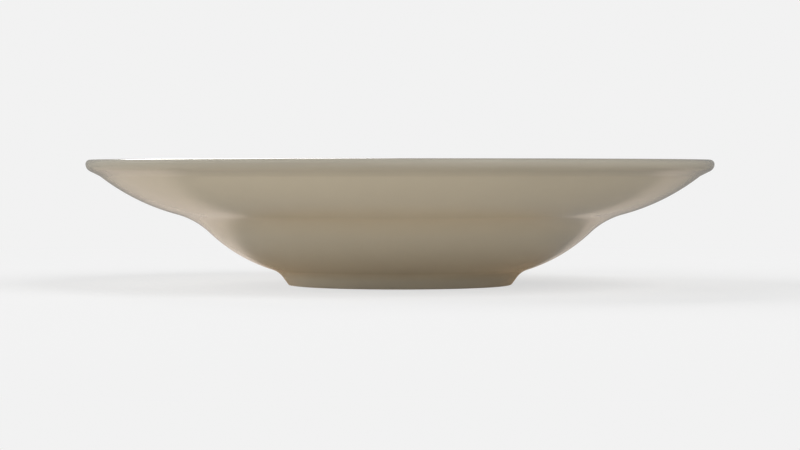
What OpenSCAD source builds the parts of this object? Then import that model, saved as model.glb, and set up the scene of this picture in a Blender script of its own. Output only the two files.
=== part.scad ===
// Wide-rimmed pasta bowl: one fired clay body under three coats of glaze.
// Millimetres. Z is the axis of the bowl, and z = 0 is the face that it stands on.
// The outside rises through three stretches that swell, the well, the flange and the lip,
// with a soft crease where each one turns out from the one below.

/* [Rim] */
// Diameter over the lip
rim_d = 280; // [250:1:300]
// Height from the table to the top of the lip
height = 56; // [50:0.5:64]
// Width of the lip, from its crease to its edge along the radius
lip_w = 6.3; // [5:0.1:9]
// Slope of the underside of the lip, in degrees
lip_slope = 26.5; // [18:0.5:32]
// Radius of the top edge of the lip
lip_top_r = 2; // [1.6:0.1:2.4]
// Radius of the crease under the lip
lip_crease_r = 5; // [3:0.5:8]

/* [Flange] */
// Rise of the flange, from the shoulder to the crease under the lip
flange_h = 18.9; // [16:0.1:23]
// How far the flange turns up between its two ends, in degrees
flange_turn = 28.3; // [24:0.1:36]
// Diameter at the shoulder, the crease between the well and the flange
shoulder_d = 182; // [160:1:205]
// Radius of the shoulder on the outside
shoulder_r = 34; // [15:1:42]

/* [Well] */
// How far the well turns up between its two ends, in degrees
well_turn = 35.4; // [28:0.1:42]
// Thickness of the base with its glaze, from the hollow to the floor of the well
base_t = 6.4; // [5.6:0.1:8]
// Radius between the floor and the side of the well
floor_r = 32; // [12:1:33]

/* [Foot] */
// Diameter of the foot at the table
foot_d = 99.7; // [82:0.1:118]
// Height of the waist, the crease between the foot and the well
waist_h = 6.1; // [5:0.1:7.2]
// How far the foot flares out from the table to the waist
foot_flare = 4.45; // [3.6:0.05:5.4]
// Radius of the waist
waist_r = 10; // [4:0.5:12]
// Width of the foot ring at the table
foot_ring_w = 6; // [5:0.1:9]
// Slope of the inner face of the foot ring, in degrees
foot_inner_slope = 62; // [50:1:75]
// Radius of both edges of the foot ring, over the glaze
foot_edge_r = 1.6; // [1.3:0.1:2]
// Depth of the hollow under the base
recess_h = 3; // [2.4:0.1:4]
// Radius of the corner of that hollow
recess_r = 2; // [1:0.1:2.4]

/* [Wall and glaze] */
// Thickness of the wall with its glaze
wall_t = 4.8; // [4.4:0.1:5.6]
// Thickness of one coat of glaze
glaze_t = 0.36; // [0.25:0.01:0.45]
// How far a coat turns under the edge of the foot ring, in degrees
glaze_wrap = 6; // [0:1:10]

/* [Hidden] */
$fn = 240;

// Largest gap between a round stretch and the chords that draw it
chord_tol = 0.012;
// Least height of the floor over the lowest level of the well
floor_rise = 0.3;
// Largest fillet round the floor, as a share of the radius of the well that it lies in
floor_fit = 0.5;

clay_colour = [0.85, 0.80, 0.72];
glaze_colour = [0.63, 0.59, 0.52];

// Plane geometry: each point and vector is [radius, height].
function unit(v) = v / norm(v);
function right_of(v) = [v.y, -v.x];
function angle_of(v) = atan2(v.y, v.x);
function polar(a) = [cos(a), sin(a)];
function flip(list) = [for (i = [len(list) - 1 : -1 : 0]) list[i]];
function tail(list) = [for (i = [1 : len(list) - 1]) list[i]];

// Points along an arc of radius r about c, all moved out of the wall by out.
// sense is 1 where the arc swells out of the wall and -1 where it is hollow.
function arc(c, r, sense, out, from, to) =
    let (count = ceil(abs(to - from) / (2 * acos(1 - chord_tol / r))))
    [for (i = [0 : count]) c + (r + sense * out) * polar(from + (to - from) * i / count)];

// Radius and centre of the arc from a to b that turns left by turn and so swells to the right
function swell_r(a, b, turn) = norm(b - a) / (2 * sin(turn / 2));
function swell_c(a, b, turn) =
    (a + b) / 2 - right_of(unit(b - a)) * swell_r(a, b, turn) * cos(turn / 2);

// Point to the right of the line from a to b, at ra from a and rb from b
function triangle_tip(a, ra, b, rb) =
    let (d = norm(b - a), along = (d * d + ra * ra - rb * rb) / (2 * d))
    a + unit(b - a) * along + right_of(unit(b - a)) * sqrt(ra * ra - along * along);

// Point at r from c on the line through p along d: the first for way -1, the last for way 1
function line_hit(p, d, c, r, way) =
    let (back = (p - c) * d)
    p + d * (way * sqrt(back * back - (p - c) * (p - c) + r * r) - back);

// Point at height h on the line through p along d
function line_level(p, d, h) = p + d * (h - p.y) / d.y;

// Lip: a small top edge and a fuller outer edge, with their centres on one level
lip_along = polar(lip_slope);
lip_face = right_of(lip_along);
lip_out_r = (wall_t - lip_top_r * (1 + sin(lip_slope))) / (1 - sin(lip_slope));
lip_top_c = [rim_d / 2 - lip_top_r, height - lip_top_r];
lip_out_c = [rim_d / 2 - lip_out_r, height - lip_top_r];
lip_under = lip_out_c + lip_out_r * lip_face;
lip_root = lip_under + lip_along * (rim_d / 2 - lip_w - lip_under.x) / lip_along.x;

// Corners of the outside, before they are rounded
shoulder = [shoulder_d / 2, lip_root.y - flange_h];
waist = [foot_d / 2 + foot_flare, waist_h];
toe = [foot_d / 2, 0];
heel = [foot_d / 2 - foot_ring_w, 0];

// The flange and the well
flange_r = swell_r(shoulder, lip_root, flange_turn);
flange_c = swell_c(shoulder, lip_root, flange_turn);
well_r = swell_r(waist, shoulder, well_turn);
well_c = swell_c(waist, shoulder, well_turn);

// The floor cuts the inside of the well above its lowest level, and a fillet inside the well joins them
bowl_r = well_r - wall_t;
floor_h = max(recess_h + base_t, well_c.y - bowl_r + floor_rise);
fillet_r = min(floor_r, floor_fit * bowl_r);
fillet_c = line_hit([0, floor_h + fillet_r], [1, 0], well_c, bowl_r - fillet_r, 1);

// The two faces of the foot ring, each with its direction upwards and its outward normal
toe_along = unit(waist - toe);
toe_face = right_of(toe_along);
heel_along = polar(180 - foot_inner_slope);
heel_face = -right_of(heel_along);

// Centres of the creases
crease_c = line_hit(lip_root + lip_face * lip_crease_r, lip_along, flange_c, flange_r + lip_crease_r, 1);
shoulder_c = triangle_tip(well_c, well_r + shoulder_r, flange_c, flange_r + shoulder_r);
waist_c = line_hit(toe + toe_face * waist_r, toe_along, well_c, well_r + waist_r, -1);

// Centres of the edges of the foot ring, whose clay touches the table, and of the hollow's corner
edge_h = foot_edge_r - glaze_t;
toe_c = line_level(toe - toe_face * foot_edge_r, toe_along, edge_h);
heel_c = line_level(heel - heel_face * foot_edge_r, heel_along, edge_h);
recess_c = line_level(heel + heel_face * recess_r, heel_along, recess_h - recess_r);

// Directions from the centres of those edges: straight down, and where each coat of glaze stops
toe_down = -90;
toe_stop = angle_of(toe_face) - glaze_wrap;
heel_turn = 270 - foot_inner_slope;
heel_down = 270;
heel_stop = heel_turn + glaze_wrap;

// Stretches that both sides of the wall share, from the angle start in the well up to the lip
function wall_skin(out, start) = concat(
    arc(well_c, well_r, 1, out, start, angle_of(shoulder_c - well_c)),
    tail(arc(shoulder_c, shoulder_r, -1, out,
        angle_of(well_c - shoulder_c), angle_of(flange_c - shoulder_c))),
    tail(arc(flange_c, flange_r, 1, out,
        angle_of(shoulder_c - flange_c), angle_of(crease_c - flange_c))),
    tail(arc(crease_c, lip_crease_r, -1, out,
        angle_of(flange_c - crease_c), angle_of(-lip_face))));

// Outside of the bowl from the angle start on the toe to the crest of the lip, sunk by depth
function outside(depth, start) = concat(
    arc(toe_c, foot_edge_r, 1, -depth, start, angle_of(toe_face)),
    arc(waist_c, waist_r, -1, -depth, angle_of(-toe_face), angle_of(well_c - waist_c)),
    tail(wall_skin(-depth, angle_of(waist_c - well_c))),
    arc(lip_out_c, lip_out_r, 1, -depth, angle_of(lip_face), 0),
    tail(arc(lip_top_c, lip_top_r, 1, -depth, 0, 90)));

// Inside of the bowl from the middle of its floor to the crest of the lip, sunk by depth
function inside(depth) = concat(
    [[0, floor_h - depth]],
    arc(fillet_c, fillet_r, 1, depth, -90, angle_of(fillet_c - well_c)),
    tail(wall_skin(depth - wall_t, angle_of(fillet_c - well_c))),
    arc(lip_top_c, lip_top_r, 1, -depth, 90 + lip_slope, 90));

// Underside from the angle start on the heel to the middle of the hollow, sunk by depth
function underside(depth, start) = concat(
    arc(heel_c, foot_edge_r, 1, -depth, start, heel_turn),
    arc(recess_c, recess_r, -1, -depth, 90 - foot_inner_slope, 90),
    [[0, recess_h + depth]]);

// A coat of glaze between its surface and the clay under it
module coat(surface, clay) {
    color(glaze_colour)
    rotate_extrude()
    polygon(concat(surface, flip(clay)));
}

// Fired clay with its foot ring, bare only where it stands
module clay_body() {
    color(clay_colour)
    rotate_extrude()
    polygon(concat(
        outside(glaze_t, toe_down),
        flip(inside(glaze_t)),
        flip(underside(glaze_t, heel_down))));
}

// Coat on the outside, from the foot ring to the crest of the lip
module outside_glaze() {
    coat(outside(0, toe_stop), outside(glaze_t, toe_stop));
}

// Coat on the inside, from the crest of the lip over the well
module inside_glaze() {
    coat(inside(0), inside(glaze_t));
}

// Coat in the hollow under the base
module base_glaze() {
    coat(underside(0, heel_stop), underside(glaze_t, heel_stop));
}

clay_body();
outside_glaze();
inside_glaze();
base_glaze();
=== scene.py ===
"""Pasta bowl in taupe glaze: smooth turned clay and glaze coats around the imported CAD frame."""

import logging
import math
from dataclasses import dataclass
from enum import Enum
from functools import cached_property
from typing import ClassVar

import bpy
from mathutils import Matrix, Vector, kdtree

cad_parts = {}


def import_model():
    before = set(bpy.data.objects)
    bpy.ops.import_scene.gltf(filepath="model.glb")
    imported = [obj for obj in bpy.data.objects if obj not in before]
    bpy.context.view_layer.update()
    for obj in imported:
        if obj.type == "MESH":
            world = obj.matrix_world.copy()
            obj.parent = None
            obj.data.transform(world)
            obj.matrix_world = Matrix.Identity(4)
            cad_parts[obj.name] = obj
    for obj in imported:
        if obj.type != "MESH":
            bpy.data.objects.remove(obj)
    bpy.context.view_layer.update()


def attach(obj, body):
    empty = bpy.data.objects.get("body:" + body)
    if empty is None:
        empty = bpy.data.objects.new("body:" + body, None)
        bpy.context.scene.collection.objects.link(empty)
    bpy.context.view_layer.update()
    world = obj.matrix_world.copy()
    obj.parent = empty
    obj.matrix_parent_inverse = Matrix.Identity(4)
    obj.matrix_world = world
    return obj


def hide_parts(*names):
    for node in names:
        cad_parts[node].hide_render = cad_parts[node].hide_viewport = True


log = logging.getLogger("pasta_bowl")

BODY = "root"
# Vertex attribute for painted shade on edges and a pooled tone with painted bounce light in
# hollows.
BEND_SHADE_LIGHT = "painted_bend_shade_light"
ALONG = "section_length"


class Swell(Enum):
    """Which way a round stretch of the wall curves, seen from outside the clay."""

    OUT = 1
    HOLLOW = -1


class Chord(Enum):
    """Largest gap between a round stretch and its chords, in metres."""

    FINE = 0.0000025
    HIDDEN = 0.000012


def polar(angle: float) -> Vector:
    """Gives the unit vector at an angle in degrees, as radius and height."""
    return Vector((math.cos(math.radians(angle)), math.sin(math.radians(angle))))


def angle_of(way: Vector) -> float:
    """Gives the angle of a vector in degrees."""
    return math.degrees(math.atan2(way.y, way.x))


def right_of(way: Vector) -> Vector:
    """Turns a vector a quarter turn to the right."""
    return Vector((way.y, -way.x))


def line_hit(point: Vector, way: Vector, centre: Vector, radius: float, side: int) -> Vector:
    """Finds where a line meets a circle.

    Args:
        point: a point on the line
        way: the line's unit direction
        centre: the middle of the circle
        radius: the radius of the circle
        side: -1 for the first of the two meetings, 1 for the last

    Returns:
        The meeting point.
    """
    off = point - centre
    back = off.dot(way)
    return point + way * (side * math.sqrt(back * back - off.dot(off) + radius * radius) - back)


def line_level(point: Vector, way: Vector, height: float) -> Vector:
    """Gives the point at a height on the line through a point."""
    return point + way * ((height - point.y) / way.y)


def triangle_tip(a: Vector, from_a: float, b: Vector, from_b: float) -> Vector:
    """Finds a point by its distances from two others.

    Args:
        a: the first point
        from_a: the distance from a
        b: the second point
        from_b: the distance from b

    Returns:
        The point to the right of the line from a to b.
    """
    span = (b - a).length
    way = (b - a) / span
    along = (span * span + from_a * from_a - from_b * from_b) / (2 * span)
    return a + way * along + right_of(way) * math.sqrt(from_a * from_a - along * along)


@dataclass(frozen=True)
class Arc:
    """A round stretch of the section: its circle, its swell and its two end angles in degrees."""

    centre: Vector
    radius: float
    swell: Swell
    start: float
    stop: float

    @classmethod
    def between(cls, a: Vector, b: Vector, turn: float) -> "Arc":
        """Makes the arc that swells to the right from one point to another.

        Args:
            a: the first point
            b: the second point
            turn: how far the arc turns left on its way, in degrees

        Returns:
            The arc from a to b.
        """
        half = math.radians(turn / 2)
        radius = (b - a).length / (2 * math.sin(half))
        centre = (a + b) / 2 - right_of((b - a).normalized()) * (radius * math.cos(half))
        return cls(centre, radius, Swell.OUT, angle_of(a - centre), angle_of(b - centre))

    def trimmed(self, start: float, stop: float) -> "Arc":
        """Gives the same circle between two other angles."""
        return Arc(self.centre, self.radius, self.swell, start, stop)

    def at(self, angle: float) -> Vector:
        """Gives the point of the circle at an angle."""
        return self.centre + polar(angle) * self.radius

    def points(self, out: float, chord: Chord) -> list[Vector]:
        """Draws the stretch.

        Args:
            out: how far the points move out of the clay, in metres
            chord: how closely the chords follow the stretch

        Returns:
            The points from the start angle to the stop angle.
        """
        step = math.degrees(2 * math.acos(1 - chord.value / self.radius))
        count = max(1, math.ceil(abs(self.stop - self.start) / step))
        reach = self.radius + self.swell.value * out
        sweep = self.stop - self.start
        angles = [self.start + sweep * i / count for i in range(count + 1)]
        return [self.centre + polar(angle) * reach for angle in angles]


@dataclass(frozen=True)
class BowlSection:
    """Half section of the bowl, in metres and degrees, with the same sizes as the CAD solids."""

    rim_d: float = 0.280
    height: float = 0.056
    lip_w: float = 0.0063
    lip_slope: float = 26.5
    lip_top_r: float = 0.002
    lip_crease_r: float = 0.005
    flange_h: float = 0.0189
    flange_turn: float = 28.3
    shoulder_d: float = 0.182
    shoulder_r: float = 0.034
    well_turn: float = 35.4
    base_t: float = 0.0064
    floor_r: float = 0.032
    foot_d: float = 0.0997
    waist_h: float = 0.0061
    foot_flare: float = 0.00445
    waist_r: float = 0.010
    foot_ring_w: float = 0.006
    foot_inner_slope: float = 62.0
    foot_edge_r: float = 0.0016
    recess_h: float = 0.003
    recess_r: float = 0.002
    wall_t: float = 0.0048
    glaze_t: float = 0.00036
    glaze_wrap: float = 6.0

    @cached_property
    def lip_along(self) -> Vector:
        """Direction up the underside of the lip."""
        return polar(self.lip_slope)

    @cached_property
    def lip_face(self) -> Vector:
        """Outward normal of the underside of the lip."""
        return right_of(self.lip_along)

    @cached_property
    def lip_edge(self) -> Arc:
        """Fuller outer edge of the lip."""
        lean = math.sin(math.radians(self.lip_slope))
        radius = (self.wall_t - self.lip_top_r * (1 + lean)) / (1 - lean)
        centre = Vector((self.rim_d / 2 - radius, self.height - self.lip_top_r))
        return Arc(centre, radius, Swell.OUT, angle_of(self.lip_face), 0)

    @cached_property
    def lip_top(self) -> Arc:
        """Small top edge of the lip, from its outermost point to its crest."""
        centre = Vector((self.rim_d / 2 - self.lip_top_r, self.height - self.lip_top_r))
        return Arc(centre, self.lip_top_r, Swell.OUT, 0, 90)

    @cached_property
    def lip_root(self) -> Vector:
        """Corner between the flange and the lip."""
        under = self.lip_edge.centre + self.lip_face * self.lip_edge.radius
        reach = self.rim_d / 2 - self.lip_w - under.x
        return under + self.lip_along * (reach / self.lip_along.x)

    @cached_property
    def shoulder_corner(self) -> Vector:
        """Corner between the well and the flange."""
        return Vector((self.shoulder_d / 2, self.lip_root.y - self.flange_h))

    @cached_property
    def waist_corner(self) -> Vector:
        """Corner between the foot and the well."""
        return Vector((self.foot_d / 2 + self.foot_flare, self.waist_h))

    @cached_property
    def toe_along(self) -> Vector:
        """Direction up the outer face of the foot ring."""
        return (self.waist_corner - Vector((self.foot_d / 2, 0))).normalized()

    @cached_property
    def heel_along(self) -> Vector:
        """Direction up the inner face of the foot ring."""
        return polar(180 - self.foot_inner_slope)

    @cached_property
    def flange(self) -> Arc:
        """Flange between its two corners."""
        return Arc.between(self.shoulder_corner, self.lip_root, self.flange_turn)

    @cached_property
    def well(self) -> Arc:
        """Outside of the well between its two corners."""
        return Arc.between(self.waist_corner, self.shoulder_corner, self.well_turn)

    @cached_property
    def crease(self) -> Arc:
        """Crease under the lip."""
        start = self.lip_root + self.lip_face * self.lip_crease_r
        reach = self.flange.radius + self.lip_crease_r
        centre = line_hit(start, self.lip_along, self.flange.centre, reach, 1)
        from_flange = angle_of(self.flange.centre - centre)
        return Arc(centre, self.lip_crease_r, Swell.HOLLOW, from_flange, angle_of(-self.lip_face))

    @cached_property
    def shoulder(self) -> Arc:
        """Crease between the well and the flange."""
        from_well = self.well.radius + self.shoulder_r
        from_flange = self.flange.radius + self.shoulder_r
        centre = triangle_tip(self.well.centre, from_well, self.flange.centre, from_flange)
        start, stop = angle_of(self.well.centre - centre), angle_of(self.flange.centre - centre)
        return Arc(centre, self.shoulder_r, Swell.HOLLOW, start, stop)

    @cached_property
    def waist(self) -> Arc:
        """Crease between the foot and the well."""
        face = right_of(self.toe_along)
        start = Vector((self.foot_d / 2, 0)) + face * self.waist_r
        reach = self.well.radius + self.waist_r
        centre = line_hit(start, self.toe_along, self.well.centre, reach, -1)
        from_well = angle_of(self.well.centre - centre)
        return Arc(centre, self.waist_r, Swell.HOLLOW, angle_of(-face), from_well)

    @cached_property
    def floor_fillet(self) -> Arc:
        """Round between the floor and the side of the well, on the inside."""
        inner = self.well.radius - self.wall_t
        start = Vector((0, self.recess_h + self.base_t + self.floor_r))
        centre = line_hit(start, Vector((1, 0)), self.well.centre, inner - self.floor_r, 1)
        return Arc(centre, self.floor_r, Swell.HOLLOW, -90, angle_of(centre - self.well.centre))

    @cached_property
    def toe(self) -> Arc:
        """Outer edge of the foot ring, from the table to its outer face."""
        face = right_of(self.toe_along)
        corner = Vector((self.foot_d / 2, 0))
        start = corner - face * self.foot_edge_r
        centre = line_level(start, self.toe_along, self.foot_edge_r - self.glaze_t)
        return Arc(centre, self.foot_edge_r, Swell.OUT, -90, angle_of(face))

    @cached_property
    def heel(self) -> Arc:
        """Inner edge of the foot ring, from the table to its inner face."""
        face = -right_of(self.heel_along)
        corner = Vector((self.foot_d / 2 - self.foot_ring_w, 0))
        start = corner - face * self.foot_edge_r
        centre = line_level(start, self.heel_along, self.foot_edge_r - self.glaze_t)
        return Arc(centre, self.foot_edge_r, Swell.OUT, 270, 270 - self.foot_inner_slope)

    @cached_property
    def recess_corner(self) -> Arc:
        """Round corner of the hollow under the base."""
        face = -right_of(self.heel_along)
        corner = Vector((self.foot_d / 2 - self.foot_ring_w, 0))
        start = corner + face * self.recess_r
        centre = line_level(start, self.heel_along, self.recess_h - self.recess_r)
        return Arc(centre, self.recess_r, Swell.HOLLOW, 90 - self.foot_inner_slope, 90)

    def wall(self, out: float, start: float, chord: Chord) -> list[Vector]:
        """Draws the stretches that both sides of the wall share.

        Args:
            out: how far the line moves out of the outside face, in metres
            start: the angle in the well where the line starts
            chord: how closely the line is drawn

        Returns:
            The points from the well up to the lip.
        """
        well = self.well.trimmed(start, angle_of(self.shoulder.centre - self.well.centre))
        flange = self.flange.trimmed(
            angle_of(self.shoulder.centre - self.flange.centre),
            angle_of(self.crease.centre - self.flange.centre),
        )
        line = well.points(out, chord)
        for stretch in (self.shoulder, flange, self.crease):
            line += stretch.points(out, chord)[1:]
        return line

    def outside(self, depth: float, start: float, chord: Chord) -> list[Vector]:
        """Draws the outside of the bowl.

        Args:
            depth: how far the line is sunk below the glaze's surface, in metres
            start: the angle on the toe where the line starts
            chord: how closely the line is drawn

        Returns:
            The points from the toe to the crest of the lip.
        """
        toe = self.toe.trimmed(start, self.toe.stop)
        from_waist = angle_of(self.waist.centre - self.well.centre)
        line = toe.points(-depth, chord) + self.waist.points(-depth, chord)
        line += self.wall(-depth, from_waist, chord)[1:]
        return line + self.lip_edge.points(-depth, chord) + self.lip_top.points(-depth, chord)[1:]

    def inside(self, depth: float, chord: Chord) -> list[Vector]:
        """Draws the inside of the bowl.

        Args:
            depth: how far the line is sunk below the glaze's surface, in metres
            chord: how closely the line is drawn

        Returns:
            The points from the middle of the floor to the crest of the lip.
        """
        fillet = self.floor_fillet
        line = [Vector((0, self.recess_h + self.base_t - depth))]
        line += fillet.points(-depth, chord)
        line += self.wall(depth - self.wall_t, fillet.stop, chord)[1:]
        return line + self.lip_top.trimmed(90 + self.lip_slope, 90).points(-depth, chord)

    def underside(self, depth: float, start: float, chord: Chord) -> list[Vector]:
        """Draws the inner face of the foot ring and the hollow under the base.

        Args:
            depth: how far the line is sunk below the glaze's surface, in metres
            start: the angle on the heel where the line starts
            chord: how closely the line is drawn

        Returns:
            The points from the heel to the middle of the hollow.
        """
        heel = self.heel.trimmed(start, self.heel.stop)
        line = heel.points(-depth, chord) + self.recess_corner.points(-depth, chord)
        return line + [Vector((0, self.recess_h + depth))]


def bend_shade_and_light(
    line: list[Vector], open_side: int, blur: float, hollow_r: float, edge_r: float
) -> list[float]:
    """Says how a section line bends: 1 in a tight hollow, for a pooled glaze tone with painted
    bounce light, -1 on a sharp edge, for painted shade.

    Args:
        line: the section line of a glazed surface
        open_side: 1 where the air is to the right of the line, -1 where it is to the left
        blur: how far along the line a bend has effect, in metres
        hollow_r: the radius of a long hollow that gets the full pooled tone and painted bounce
            light, in metres
        edge_r: the radius of a long edge that gets the full painted shade, in metres

    Returns:
        One value for each point of the line.
    """
    run = run_along(line)
    bends = []
    for before, here, after in zip(line, line[1:], line[2:]):
        a, b = here - before, after - here
        bends.append(-open_side * math.atan2(a.x * b.y - a.y * b.x, a.dot(b)))
    shade_light = []
    for place in run:
        weights = [math.exp(-(((place - spot) / blur) ** 2) / 2) for spot in run[1:-1]]
        bend = sum(w * turn for w, turn in zip(weights, bends)) / (blur * math.sqrt(math.tau))
        shade_light.append(max(-1.0, min(1.0, bend * (hollow_r if bend > 0 else edge_r))))
    return shade_light


def run_along(line: list[Vector]) -> list[float]:
    """Measures along a line.

    Args:
        line: the points of the line

    Returns:
        The length from the start to each point.
    """
    run = [0.0]
    for a, b in zip(line, line[1:]):
        run.append(run[-1] + (b - a).length)
    return run


@dataclass
class TurnedPiece:
    """A piece turned about the axis of the bowl, with the CAD node that it stands for."""

    section: BowlSection
    name: str
    node: str
    slot: str
    steps: int = 288
    merge_gap: float = 0.000002
    smooth_angle: float = 35.0
    # How far a bend spreads the painted edge shade and hollow light, in metres.
    shade_light_blur: float = 0.0045
    hollow_r: float = 0.012
    edge_r: float = 0.00465

    def section_line(self) -> list[Vector]:
        """Gives the whole section line of the piece."""
        raise NotImplementedError

    def surface_line(self) -> list[Vector]:
        """Gives the part of the section line that shows."""
        raise NotImplementedError

    def bend_line(self) -> list[Vector]:
        """Gives the line whose bends set the painted shade on edges and the pooled tone with
        painted bounce light in hollows.
        """
        return self.surface_line()

    def open_side(self) -> int:
        """Says on which side of the surface line the air is: 1 for the right, -1 for the left."""
        return 1

    def build(self) -> bpy.types.Object:
        """Models the piece and gives it to the frame.

        Returns:
            The finished object, without its material.
        """
        piece = self.draw_section(self.section_line())
        self.turn(piece)
        self.mark_surface(piece)
        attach(piece, BODY)
        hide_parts(self.node)
        return piece

    def draw_section(self, line: list[Vector]) -> bpy.types.Object:
        """Draws a section line by extruding one vertex from point to point.

        Args:
            line: the points of the section, as radius and height

        Returns:
            A new object in edit mode that holds the line.
        """
        bpy.ops.object.select_all(action="DESELECT")
        start_r = self.section.glaze_t
        bpy.ops.mesh.primitive_circle_add(vertices=3, radius=start_r, location=(0, 0, 0))
        piece = bpy.context.object
        piece.name = piece.data.name = self.name
        bpy.ops.object.mode_set(mode="EDIT")
        bpy.ops.mesh.merge(type="CENTER")
        bpy.ops.transform.translate(value=(line[0].x, 0, line[0].y))
        for a, b in zip(line, line[1:]):
            step = {"value": (b.x - a.x, 0, b.y - a.y)}
            bpy.ops.mesh.extrude_region_move(TRANSFORM_OT_translate=step)
        return piece

    def turn(self, piece: bpy.types.Object) -> None:
        """Spins the drawn section about the axis of the bowl and closes the shell.

        Args:
            piece: the object in edit mode with the section
        """
        bpy.ops.mesh.select_all(action="SELECT")
        bpy.ops.mesh.remove_doubles(threshold=self.merge_gap)
        bpy.ops.mesh.spin(steps=self.steps, angle=math.tau, center=(0, 0, 0), axis=(0, 0, 1))
        bpy.ops.mesh.select_all(action="SELECT")
        bpy.ops.mesh.remove_doubles(threshold=self.merge_gap)
        bpy.ops.mesh.normals_make_consistent(inside=False)
        bpy.ops.object.mode_set(mode="OBJECT")
        bpy.ops.object.shade_smooth_by_angle(angle=math.radians(self.smooth_angle))

    def mark_surface(self, piece: bpy.types.Object) -> None:
        """Writes the painted shade and light that the bends give, and the length along the section,
        on each vertex.

        Args:
            piece: the turned object
        """
        line = self.bend_line()
        shade_light = bend_shade_and_light(line, self.open_side(), self.shade_light_blur, self.hollow_r, self.edge_r)
        run = run_along(line)
        tree = kdtree.KDTree(len(line))
        for i, point in enumerate(line):
            tree.insert((point.x, point.y, 0), i)
        tree.balance()
        shade_lights = piece.data.attributes.new(BEND_SHADE_LIGHT, "FLOAT", "POINT")
        lengths = piece.data.attributes.new(ALONG, "FLOAT", "POINT")
        for i, vertex in enumerate(piece.data.vertices):
            _, near, _ = tree.find((math.hypot(vertex.co.x, vertex.co.y), vertex.co.z, 0))
            shade_lights.data[i].value = shade_light[near]
            lengths.data[i].value = run[near]

    def dress(self, piece: bpy.types.Object, finish: bpy.types.Material) -> None:
        """Gives the piece its only material."""
        piece.data.materials.clear()
        piece.data.materials.append(finish)


@dataclass
class ClayBody(TurnedPiece):
    """Fired clay under the glaze, bare on the flat of its foot ring."""

    def section_line(self) -> list[Vector]:
        """Draws the section of the clay.

        Returns:
            The points from the hollow round the wall to the floor.
        """
        s = self.section
        under = s.underside(s.glaze_t, s.heel.start, Chord.HIDDEN)
        outside = s.outside(s.glaze_t, s.toe.start, Chord.HIDDEN)
        return under[::-1] + outside + s.inside(s.glaze_t, Chord.HIDDEN)[::-1]

    def surface_line(self) -> list[Vector]:
        """Gives the whole section, because any of it may be bare."""
        return self.section_line()


@dataclass
class GlazeCoat(TurnedPiece):
    """A coat of glaze with a rounded edge that wanders a little on the foot ring."""

    crest_ease: float = 0.4
    drift: float = 0.00028
    drift_fade: float = 0.0024
    WAVES: ClassVar = ((0.5, 3, 0.7), (0.3, 8, 2.1), (0.2, 17, 4.0))

    def nose(self, edge: Arc, stop: float, turn: int) -> list[Vector]:
        """Draws the rounded edge of a coat, from the clay round to the glaze's surface.

        Args:
            edge: the edge of the foot ring that the coat stops on
            stop: the angle on that edge where the coat stops
            turn: 1 where the nose turns to larger angles, -1 where it turns to smaller ones

        Returns:
            The points between the clay and the surface.
        """
        half = self.section.glaze_t / 2
        centre = edge.centre + polar(stop) * (edge.radius - half)
        return Arc(centre, half, Swell.OUT, stop - turn * 180, stop).points(0, Chord.FINE)[1:-1]

    def let_edge_wander(self, piece: bpy.types.Object, edge: Vector, along: Vector) -> None:
        """Lets the edge of the coat rise and fall a little round the foot ring.

        Args:
            piece: the turned coat
            edge: the section point where the coat ends
            along: the direction up the foot ring from there
        """
        for vertex in piece.data.vertices:
            radius = math.hypot(vertex.co.x, vertex.co.y)
            share = 1 - (Vector((radius, vertex.co.z)) - edge).dot(along) / self.drift_fade
            if share <= 0:
                continue
            around = math.atan2(vertex.co.y, vertex.co.x)
            wave = sum(part * math.sin(count * around + phase) for part, count, phase in self.WAVES)
            share = min(1.0, share)
            rise = self.drift * (0.5 + 0.5 * wave) * share * share * (3 - 2 * share)
            spread = 1 + rise * along.x / radius
            vertex.co = (vertex.co.x * spread, vertex.co.y * spread, vertex.co.z + rise * along.y)


@dataclass
class OutsideGlaze(GlazeCoat):
    """Coat on the outside, from the foot ring to the crest of the lip."""

    def stop(self) -> float:
        """Gives the angle on the toe where the coat stops."""
        return self.section.toe.stop - self.section.glaze_wrap

    def surface_line(self) -> list[Vector]:
        """Gives the surface from the toe to the crest."""
        line = self.section.outside(0, self.stop(), Chord.FINE)
        return line[:-1] + [self.section.lip_top.at(90 - self.crest_ease), line[-1]]

    def bend_line(self) -> list[Vector]:
        """Gives the surface with the whole toe under it, so that the painted edge shade grows
        towards the coat's end.
        """
        return self.section.outside(0, self.section.toe.start, Chord.FINE)

    def section_line(self) -> list[Vector]:
        """Draws the section of the coat.

        Returns:
            The points round the coat, back to the first.
        """
        s = self.section
        surface = self.surface_line()
        clay = s.outside(s.glaze_t, self.stop(), Chord.HIDDEN)
        return surface + clay[::-1] + self.nose(s.toe, self.stop(), 1) + surface[:1]

    def build(self) -> bpy.types.Object:
        """Models the coat and lets its edge wander on the foot ring.

        Returns:
            The finished object, without its material.
        """
        piece = super().build()
        self.let_edge_wander(piece, self.surface_line()[0], self.section.toe_along)
        return piece


@dataclass
class InsideGlaze(GlazeCoat):
    """Coat on the inside, from the middle of the floor to the crest of the lip."""

    def open_side(self) -> int:
        """Says that the air is to the left of the line."""
        return -1

    def surface_line(self) -> list[Vector]:
        """Gives the surface from the middle of the floor to the crest."""
        line = self.section.inside(0, Chord.FINE)
        return line[:-1] + [self.section.lip_top.at(90 + self.crest_ease), line[-1]]

    def section_line(self) -> list[Vector]:
        """Gives the section of the coat, which ends on the axis at both of its faces."""
        return self.surface_line() + self.section.inside(self.section.glaze_t, Chord.HIDDEN)[::-1]


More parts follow.
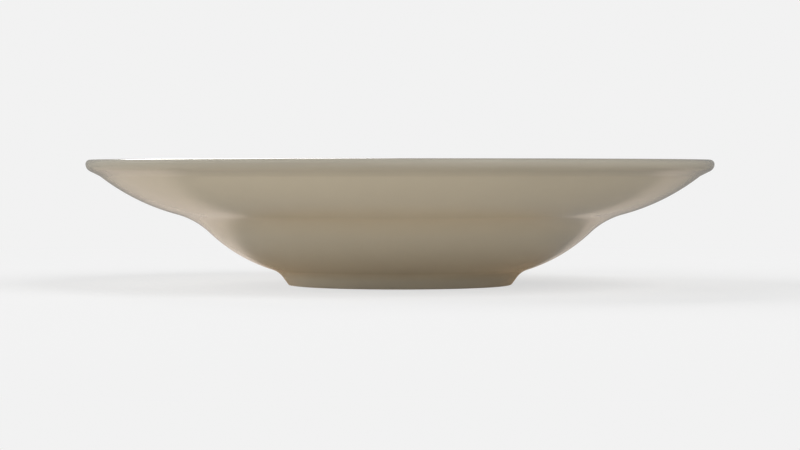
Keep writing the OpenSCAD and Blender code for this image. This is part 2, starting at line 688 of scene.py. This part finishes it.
@dataclass
class BaseGlaze(GlazeCoat):
    """Coat in the hollow under the base."""

    def open_side(self) -> int:
        """Says that the air is to the left of the line."""
        return -1

    def stop(self) -> float:
        """Gives the angle on the heel where the coat stops."""
        return self.section.heel.stop + self.section.glaze_wrap

    def surface_line(self) -> list[Vector]:
        """Gives the surface from the heel to the middle of the hollow."""
        return self.section.underside(0, self.stop(), Chord.FINE)

    def section_line(self) -> list[Vector]:
        """Draws the section of the coat.

        Returns:
            The points from the axis round the edge and back to the axis.
        """
        s = self.section
        clay = s.underside(s.glaze_t, self.stop(), Chord.HIDDEN)
        return clay[::-1] + self.nose(s.heel, self.stop(), -1) + self.surface_line()

    def build(self) -> bpy.types.Object:
        """Models the coat and lets its edge wander on the foot ring.

        Returns:
            The finished object, without its material.
        """
        piece = super().build()
        self.let_edge_wander(piece, self.surface_line()[0], self.section.heel_along)
        return piece


Colour = tuple[float, float, float]
Point = tuple[float, float, float]
Feed = float | tuple[float, ...] | bpy.types.NodeSocket


def rgba(colour: Colour) -> tuple[float, float, float, float]:
    """Adds full opacity to a colour."""
    return (*colour, 1.0)


def grey(level: float) -> tuple[float, float, float, float]:
    """Gives an opaque grey."""
    return rgba((level, level, level))


class NodeSheet:
    """Short ways to add and link the nodes of one tree."""

    def __init__(self, tree: bpy.types.NodeTree) -> None:
        """Keeps the tree that the nodes go into."""
        self.tree = tree

    def add(
        self, kind: str, feeds: dict[str | int, Feed] | None = None, **settings: object
    ) -> bpy.types.Node:
        """Adds a node.

        Args:
            kind: Blender's name for the type of node
            feeds: a value or a source socket for each input, by its name or number
            settings: the node's own properties

        Returns:
            The new node.
        """
        node = self.tree.nodes.new(kind)
        for key, value in settings.items():
            setattr(node, key, value)
        for key, value in (feeds or {}).items():
            if isinstance(value, bpy.types.NodeSocket):
                self.tree.links.new(value, node.inputs[key])
            else:
                node.inputs[key].default_value = value
        return node

    def group(self, tree: bpy.types.NodeTree, feeds: dict[str, Feed]) -> bpy.types.Node:
        """Adds a node that uses a group."""
        return self.add("ShaderNodeGroup", feeds, node_tree=tree)

    def math(self, operation: str, *feeds: Feed) -> bpy.types.NodeSocket:
        """Adds a math node and gives its result."""
        return self.add("ShaderNodeMath", dict(enumerate(feeds)), operation=operation).outputs[0]

    def blend(self, share: Feed, a: Feed, b: Feed) -> bpy.types.NodeSocket:
        """Mixes two colours, with a share of the second one, and gives the result."""
        return self.add("ShaderNodeMix", {0: share, 6: a, 7: b}, data_type="RGBA").outputs[2]

    def span(
        self, value: Feed, low: float, high: float, to_low: float, to_high: float
    ) -> bpy.types.NodeSocket:
        """Adds a node that maps one span of values smoothly to another.

        Args:
            value: the value to map
            low: the start of its span
            high: the end of its span
            to_low: what the start becomes
            to_high: what the end becomes

        Returns:
            The socket with the mapped value.
        """
        feeds = {0: value, 1: low, 2: high, 3: to_low, 4: to_high}
        return self.add("ShaderNodeMapRange", feeds, interpolation_type="SMOOTHSTEP").outputs[0]

    def noise(self, size: Feed, detail: float, where: bpy.types.NodeSocket) -> bpy.types.NodeSocket:
        """Adds soft noise.

        Args:
            size: the size of its blotches, about, in metres
            detail: how many finer layers lie over them
            where: the place on the object

        Returns:
            The socket with its value.
        """
        scale = self.math("DIVIDE", 1.0, size)
        feeds = {"Vector": where, "Scale": scale, "Detail": detail, "Roughness": 0.5}
        return self.add("ShaderNodeTexNoise", feeds).outputs["Fac"]

    def place(self) -> bpy.types.NodeSocket:
        """Gives the place on the object."""
        return self.add("ShaderNodeTexCoord").outputs["Object"]

    def distance(self, point: Point) -> bpy.types.NodeSocket:
        """Gives the distance from a point of the object, in metres."""
        feeds = {0: self.place(), 1: point}
        return self.add("ShaderNodeVectorMath", feeds, operation="DISTANCE").outputs["Value"]


def start_material(name: str) -> tuple[bpy.types.Material, NodeSheet]:
    """Starts a material.

    Args:
        name: the name of the material

    Returns:
        The material and its empty sheet.
    """
    material = bpy.data.materials.new(name)
    material.use_nodes = True
    material.node_tree.nodes.clear()
    return material, NodeSheet(material.node_tree)


class SharedEffects:
    """Node groups that both finishes use."""

    BROAD_SHARE = 0.65
    SMALL_CLOUD = 0.22
    HUE_SWING = 0.5
    CELL_PER_SPECK = 9.0
    SPECK_CORE, SPECK_EDGE = 0.02, 0.055
    KEPT_FROM, KEPT_FULL = 0.55, 0.8

    def __init__(self) -> None:
        """Builds each group once."""
        self.mottle = self.make_mottle()
        self.grain = self.make_grain()
        self.ripple = self.make_ripple()

    @staticmethod
    def new_group(name: str, inputs: dict[str, str], outputs: dict[str, str]) -> NodeSheet:
        """Starts a group with its sockets.

        Args:
            name: the name of the group
            inputs: the type of each input, by its name
            outputs: the type of each output, by its name

        Returns:
            The sheet of the new group.
        """
        tree = bpy.data.node_groups.new(name, "ShaderNodeTree")
        for way, sockets in (("INPUT", inputs), ("OUTPUT", outputs)):
            for socket, kind in sockets.items():
                tree.interface.new_socket(socket, in_out=way, socket_type=f"NodeSocket{kind}")
        return NodeSheet(tree)

    def make_mottle(self) -> bpy.types.NodeTree:
        """Builds soft kiln clouds that make a colour a little lighter, darker, warmer and cooler.

        Returns:
            The group.
        """
        inputs = {"Colour": "Color", "Amount": "Float", "Size": "Float"}
        sheet = self.new_group("kiln_mottle", inputs, {"Colour": "Color", "Mask": "Float"})
        given = sheet.add("NodeGroupInput").outputs
        where = sheet.place()
        broad = sheet.noise(given["Size"], 2.0, where)
        small = sheet.noise(sheet.math("MULTIPLY", given["Size"], self.SMALL_CLOUD), 3.0, where)
        small = sheet.math("MULTIPLY", small, 1 - self.BROAD_SHARE)
        mask = sheet.math("MULTIPLY_ADD", broad, self.BROAD_SHARE, small)
        swing = sheet.math("MULTIPLY", sheet.math("SUBTRACT", mask, 0.5), given["Amount"])
        value = sheet.math("MULTIPLY_ADD", swing, 2.0, 1.0)
        shift = sheet.math("MULTIPLY", sheet.math("SUBTRACT", broad, 0.5), swing)
        hue = sheet.math("MULTIPLY_ADD", shift, self.HUE_SWING, 0.5)
        feeds = {"Hue": hue, "Value": value, "Color": given["Colour"]}
        toned = sheet.add("ShaderNodeHueSaturation", feeds)
        sheet.add("NodeGroupOutput", {"Colour": toned.outputs[0], "Mask": mask})
        return sheet.tree

    def make_grain(self) -> bpy.types.NodeTree:
        """Builds fine grain: a height for a bump, and a mask of scattered specks.

        Returns:
            The group.
        """
        inputs = {"Size": "Float", "Speck Size": "Float"}
        sheet = self.new_group("fine_grain", inputs, {"Height": "Float", "Specks": "Float"})
        given = sheet.add("NodeGroupInput").outputs
        where = sheet.place()
        height = sheet.noise(given["Size"], 2.0, where)
        cell = sheet.math("MULTIPLY", given["Speck Size"], self.CELL_PER_SPECK)
        feeds = {"Vector": where, "Scale": sheet.math("DIVIDE", 1.0, cell), "Randomness": 1.0}
        cells = sheet.add("ShaderNodeTexVoronoi", feeds).outputs
        spot = sheet.span(cells["Distance"], self.SPECK_CORE, self.SPECK_EDGE, 1.0, 0.0)
        chosen = sheet.add("ShaderNodeSeparateColor", {0: cells["Color"]}).outputs[0]
        kept = sheet.span(chosen, self.KEPT_FROM, self.KEPT_FULL, 0.0, 1.0)
        specks = sheet.math("MULTIPLY", spot, kept)
        sheet.add("NodeGroupOutput", {"Height": height, "Specks": specks})
        return sheet.tree

    def make_ripple(self) -> bpy.types.NodeTree:
        """Builds the faint rings that turning leaves, as a height for a bump.

        Returns:
            The group.
        """
        inputs = {"Along": "Float", "Spacing": "Float"}
        sheet = self.new_group("turning_rings", inputs, {"Height": "Float"})
        given = sheet.add("NodeGroupInput").outputs
        rings = sheet.math("DIVIDE", given["Along"], given["Spacing"])
        spot = sheet.add("ShaderNodeCombineXYZ", {"X": rings}).outputs[0]
        feeds = {"Vector": spot, "Scale": 1.0, "Detail": 2.0, "Roughness": 0.55}
        height = sheet.add("ShaderNodeTexNoise", feeds).outputs["Fac"]
        sheet.add("NodeGroupOutput", {"Height": height})
        return sheet.tree


@dataclass(frozen=True)
class GlazeFinish:
    """Smooth opaque taupe glaze with painted shade on its edges, and in its hollows a pooled tone
    that is lighter and warmer as painted bounce light.
    """

    name: str = "taupe_glaze"
    body: Colour = (0.355, 0.327, 0.267)
    # Painted shade for convex edges such as the lip, and a pooled tone made lighter and warmer as
    # painted bounce light for hollows.
    edge_shade: Colour = (0.272, 0.254, 0.212)
    hollow_pool_and_light: Colour = (0.430, 0.375, 0.285)
    speck: Colour = (0.20, 0.165, 0.115)
    speck_share: float = 0.10
    speck_size: float = 0.00035
    mottle: float = 0.05
    mottle_size: float = 0.045
    mask_low: float = 0.3
    mask_high: float = 0.7
    smooth: float = 0.11
    satin: float = 0.17
    ior: float = 1.52
    peel_size: float = 0.0035
    peel_depth: float = 0.000012
    ring_spacing: float = 0.0024
    ring_depth: float = 0.000006

    def make(self, effects: SharedEffects) -> bpy.types.Material:
        """Builds the material.

        Args:
            effects: the shared node groups

        Returns:
            The material.
        """
        material, sheet = start_material(self.name)
        along = sheet.add("ShaderNodeAttribute", attribute_name=ALONG).outputs["Fac"]
        feeds = {"Colour": self.shade_and_light_tone(sheet), "Amount": self.mottle, "Size": self.mottle_size}
        clouds = sheet.group(effects.mottle, feeds).outputs
        feeds = {"Size": self.peel_size, "Speck Size": self.speck_size}
        grain = sheet.group(effects.grain, feeds).outputs
        specks = sheet.math("MULTIPLY", grain["Specks"], self.speck_share)
        colour = sheet.blend(specks, clouds["Colour"], rgba(self.speck))
        rings = sheet.group(effects.ripple, {"Along": along, "Spacing": self.ring_spacing}).outputs
        peel = sheet.add("ShaderNodeBump", {"Height": grain["Height"], "Distance": self.peel_depth})
        feeds = {"Height": rings["Height"], "Distance": self.ring_depth, "Normal": peel.outputs[0]}
        turned = sheet.add("ShaderNodeBump", feeds)
        rough = sheet.span(clouds["Mask"], self.mask_low, self.mask_high, self.smooth, self.satin)
        feeds = {"Base Color": colour, "Roughness": rough, "IOR": self.ior}
        feeds["Normal"] = turned.outputs[0]
        shader = sheet.add("ShaderNodeBsdfPrincipled", feeds)
        sheet.add("ShaderNodeOutputMaterial", {"Surface": shader.outputs[0]})
        return material

    def shade_and_light_tone(self, sheet: NodeSheet) -> bpy.types.NodeSocket:
        """Mixes the glaze's colour: painted shade on edges, the even colour, and a pooled tone with
        painted bounce light in hollows.

        Args:
            sheet: the sheet of the material

        Returns:
            The socket with the colour.
        """
        shade_light = sheet.add("ShaderNodeAttribute", attribute_name=BEND_SHADE_LIGHT).outputs["Fac"]
        # Pooled tone with painted bounce light in hollows, painted shade on edges.
        hollow = sheet.math("MAXIMUM", shade_light, 0.0)
        edge = sheet.math("MAXIMUM", sheet.math("MULTIPLY", shade_light, -1.0), 0.0)
        colour = sheet.blend(hollow, rgba(self.body), rgba(self.hollow_pool_and_light))
        return sheet.blend(edge, colour, rgba(self.edge_shade))


@dataclass(frozen=True)
class ClayFinish:
    """Bare fired clay: pale, matt and finely grained."""

    name: str = "fired_clay"
    body: Colour = (0.66, 0.58, 0.46)
    speck: Colour = (0.36, 0.28, 0.19)
    speck_share: float = 0.5
    speck_size: float = 0.0003
    mottle: float = 0.12
    mottle_size: float = 0.012
    height_low: float = 0.3
    height_high: float = 0.7
    smooth: float = 0.78
    rough: float = 0.92
    ior: float = 1.5
    grain_size: float = 0.0006
    grain_depth: float = 0.00004
    ring_spacing: float = 0.0007
    ring_depth: float = 0.00002

    def make(self, effects: SharedEffects) -> bpy.types.Material:
        """Builds the material.

        Args:
            effects: the shared node groups

        Returns:
            The material.
        """
        material, sheet = start_material(self.name)
        along = sheet.add("ShaderNodeAttribute", attribute_name=ALONG).outputs["Fac"]
        feeds = {"Colour": rgba(self.body), "Amount": self.mottle, "Size": self.mottle_size}
        clouds = sheet.group(effects.mottle, feeds).outputs
        feeds = {"Size": self.grain_size, "Speck Size": self.speck_size}
        grain = sheet.group(effects.grain, feeds).outputs
        specks = sheet.math("MULTIPLY", grain["Specks"], self.speck_share)
        colour = sheet.blend(specks, clouds["Colour"], rgba(self.speck))
        rings = sheet.group(effects.ripple, {"Along": along, "Spacing": self.ring_spacing}).outputs
        feeds = {"Height": grain["Height"], "Distance": self.grain_depth}
        fine = sheet.add("ShaderNodeBump", feeds)
        feeds = {"Height": rings["Height"], "Distance": self.ring_depth, "Normal": fine.outputs[0]}
        turned = sheet.add("ShaderNodeBump", feeds)
        heights = self.height_low, self.height_high
        rough = sheet.span(grain["Height"], *heights, self.smooth, self.rough)
        feeds = {"Base Color": colour, "Roughness": rough, "IOR": self.ior}
        feeds["Normal"] = turned.outputs[0]
        shader = sheet.add("ShaderNodeBsdfPrincipled", feeds)
        sheet.add("ShaderNodeOutputMaterial", {"Surface": shader.outputs[0]})
        return material


@dataclass(frozen=True)
class Softbox:
    """A broad soft lamp: where it stands, how wide it looks and how it lights a level floor."""

    name: str
    azimuth: float
    elevation: float
    spread: float
    level: float
    mirrored: bool = False
    stand_off: float = 2.0

    def place(self) -> None:
        """Adds the lamp, with azimuth 0 behind the camera and 90 to the camera's left."""
        turn, lift = math.radians(self.azimuth), math.radians(self.elevation)
        level_way = Vector((-math.sin(turn), -math.cos(turn), 0)) * math.cos(lift)
        way = level_way + Vector((0, 0, math.sin(lift)))
        aim = way.to_track_quat("Z", "Y").to_euler()
        bpy.ops.object.light_add(type="SUN", location=way * self.stand_off, rotation=aim)
        lamp = bpy.context.object
        lamp.name = self.name
        lamp.data.angle = math.radians(self.spread)
        lamp.data.energy = math.pi * self.level / math.sin(lift)
        lamp.visible_glossy = self.mirrored


@dataclass(frozen=True)
class Floor:
    """Pale floor: even but for the shadow to the camera, and to the glaze a painted reflection with
    a painted shadow of the bowl and painted warm bounce by its foot.
    """

    radius: float = 0.60
    plain_r: float = 0.35
    sides: int = 128
    albedo: float = 0.61
    table_tone: Colour = (0.92, 0.85, 0.745)
    backdrop: float = 0.887
    even_share: float = 0.72
    room_tone: float = 0.26
    glow_tone: Colour = (0.85, 0.74, 0.65)
    glow_centre: Point = (-0.04, 0.0, 0.0)
    bright_r: float = 0.08
    dim_r: float = 0.31
    shade_centre: Point = (0.0415, -0.187, 0.0)
    shade_r: float = 0.2205
    shade_soft: float = 0.018
    # Painted warm bounce light, mirrored in the glaze near the foot.
    foot_painted_bounce: Colour = (0.32, 0.228, 0.14)
    foot_r: float = 0.056
    open_r: float = 0.092

    def lay(self) -> None:
        """Lays the floor."""
        bpy.ops.object.select_all(action="DESELECT")
        bpy.ops.mesh.primitive_circle_add(
            vertices=self.sides, radius=self.radius, fill_type="NGON", location=(0, 0, 0)
        )
        floor = bpy.context.object
        floor.name = "floor"
        floor.data.materials.append(self.make_finish())

    def make_finish(self) -> bpy.types.Material:
        """Builds the floor's material.

        Returns:
            A matt floor that fades to the backdrop's tone for the camera, and shows glossy rays a
            painted reflection.
        """
        material, sheet = start_material("pale_floor")
        path = sheet.add("ShaderNodeLightPath").outputs
        tone = sheet.blend(path["Is Camera Ray"], rgba(self.table_tone), grey(self.albedo))
        matt = sheet.add("ShaderNodeBsdfDiffuse", {"Color": tone}).outputs[0]
        even = sheet.add("ShaderNodeEmission", {"Color": grey(self.backdrop)}).outputs[0]
        reach = sheet.distance((0.0, 0.0, 0.0))
        plain = sheet.span(reach, self.plain_r, self.radius, self.even_share, 1.0)
        share = sheet.math("MULTIPLY", path["Is Camera Ray"], plain)
        seen = sheet.add("ShaderNodeMixShader", {0: share, 1: matt, 2: even}).outputs[0]
        # Glossy rays see a painted reflection, not the lit floor: painted shadow of the bowl,
        # painted warm bounce by the foot.
        mirrored = self.painted_reflection_tone(sheet, reach)
        glow = sheet.add("ShaderNodeEmission", {"Color": mirrored}).outputs[0]
        both = sheet.add("ShaderNodeMixShader", {0: path["Is Glossy Ray"], 1: seen, 2: glow})
        sheet.add("ShaderNodeOutputMaterial", {"Surface": both.outputs[0]})
        return material

    def painted_reflection_tone(self, sheet: NodeSheet, reach: bpy.types.NodeSocket) -> bpy.types.NodeSocket:
        """Gives the painted reflection for the glaze: bright behind the bowl, a painted shadow of
        the bowl, painted warm bounce light by its foot.

        Args:
            sheet: the sheet of the floor's material
            reach: the distance from the middle of the floor

        Returns:
            The socket with the colour.
        """
        rim = self.shade_r - self.shade_soft, self.shade_r + self.shade_soft
        lit = sheet.span(sheet.distance(self.shade_centre), *rim, 0.0, 1.0)
        off = sheet.distance(self.glow_centre)
        feeds = {0: off, 1: self.bright_r, 2: self.dim_r, 3: 1.0, 4: 0.0}
        near = sheet.add("ShaderNodeMapRange", feeds).outputs[0]
        share = sheet.math("MULTIPLY", lit, near)
        colour = sheet.blend(share, grey(self.room_tone), rgba(self.glow_tone))
        open_floor = sheet.span(reach, self.foot_r, self.open_r, 0.0, 1.0)
        return sheet.blend(open_floor, rgba(self.foot_painted_bounce), colour)


@dataclass(frozen=True)
class Studio:
    """Floor, plain backdrop, soft lamps and the camera."""

    floor: Floor = Floor()
    ambient: float = 0.02
    lamps: tuple[Softbox, ...] = (
        Softbox("right_softbox", -60.0, 42.0, 50.0, 0.64),
        Softbox("left_softbox", 60.0, 25.0, 40.0, 0.21),
        Softbox("side_softbox", 120.0, 25.0, 40.0, 0.42),
        Softbox("front_softbox", 0.0, 14.0, 40.0, 0.068),
        Softbox("back_softbox", 168.0, 31.0, 20.0, 0.12, mirrored=True),
    )
    image_width: int = 800
    focal_px: float = 2631.9
    sensor: float = 36.0
    camera_distance: float = 1.18
    camera_height: float = 0.0504
    camera_dip: float = 0.020
    clip: tuple[float, float] = (0.01, 200.0)

    def build(self) -> None:
        """Builds the floor, the backdrop, the lamps and the camera."""
        self.floor.lay()
        self.hang_backdrop()
        for lamp in self.lamps:
            lamp.place()
        self.set_camera()
        bpy.context.scene.view_settings.view_transform = "Standard"

    def hang_backdrop(self) -> None:
        """Sets the faint light all round, the room in the glaze and the tone behind the floor."""
        world = bpy.data.worlds.new("studio")
        bpy.context.scene.world = world
        world.use_nodes = True
        world.node_tree.nodes.clear()
        sheet = NodeSheet(world.node_tree)
        path = sheet.add("ShaderNodeLightPath").outputs
        room = sheet.math("MULTIPLY", path["Is Glossy Ray"], self.floor.room_tone)
        seen = sheet.math("MAXIMUM", path["Is Camera Ray"], path["Is Transmission Ray"])
        plain = sheet.math("MULTIPLY", seen, self.floor.backdrop)
        level = sheet.math("MAXIMUM", sheet.math("MAXIMUM", room, plain), self.ambient)
        glow = sheet.add("ShaderNodeBackground", {"Color": grey(1.0), "Strength": level})
        sheet.add("ShaderNodeOutputWorld", {"Surface": glow.outputs[0]})

    def set_camera(self) -> None:
        """Sets the camera at the photograph's angle and distance."""
        stand = (0, -self.camera_distance, self.camera_height)
        bpy.ops.object.camera_add(location=stand, rotation=(math.pi / 2 - self.camera_dip, 0, 0))
        camera = bpy.context.object
        camera.data.sensor_fit = "HORIZONTAL"
        camera.data.sensor_width = self.sensor
        camera.data.lens = self.focal_px / self.image_width * self.sensor
        camera.data.clip_start, camera.data.clip_end = self.clip
        bpy.context.scene.camera = camera


def main() -> None:
    """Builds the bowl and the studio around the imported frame."""
    logging.basicConfig(level=logging.INFO)
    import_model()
    section = BowlSection()
    effects = SharedEffects()
    glaze = GlazeFinish().make(effects)
    clay = ClayFinish().make(effects)
    pieces = (
        (ClayBody(section, "fired_clay_body", "clay_body", "fired_clay"), clay),
        (OutsideGlaze(section, "outside_glaze_coat", "outside_glaze", "taupe_glaze"), glaze),
        (InsideGlaze(section, "inside_glaze_coat", "inside_glaze", "taupe_glaze"), glaze),
        (BaseGlaze(section, "base_glaze_coat", "base_glaze", "taupe_glaze"), glaze),
    )
    for maker, finish in pieces:
        piece = maker.build()
        maker.dress(piece, finish)
        log.info("%s: %d faces", piece.name, len(piece.data.polygons))
    Studio().build()


if __name__ == "__main__":
    main()
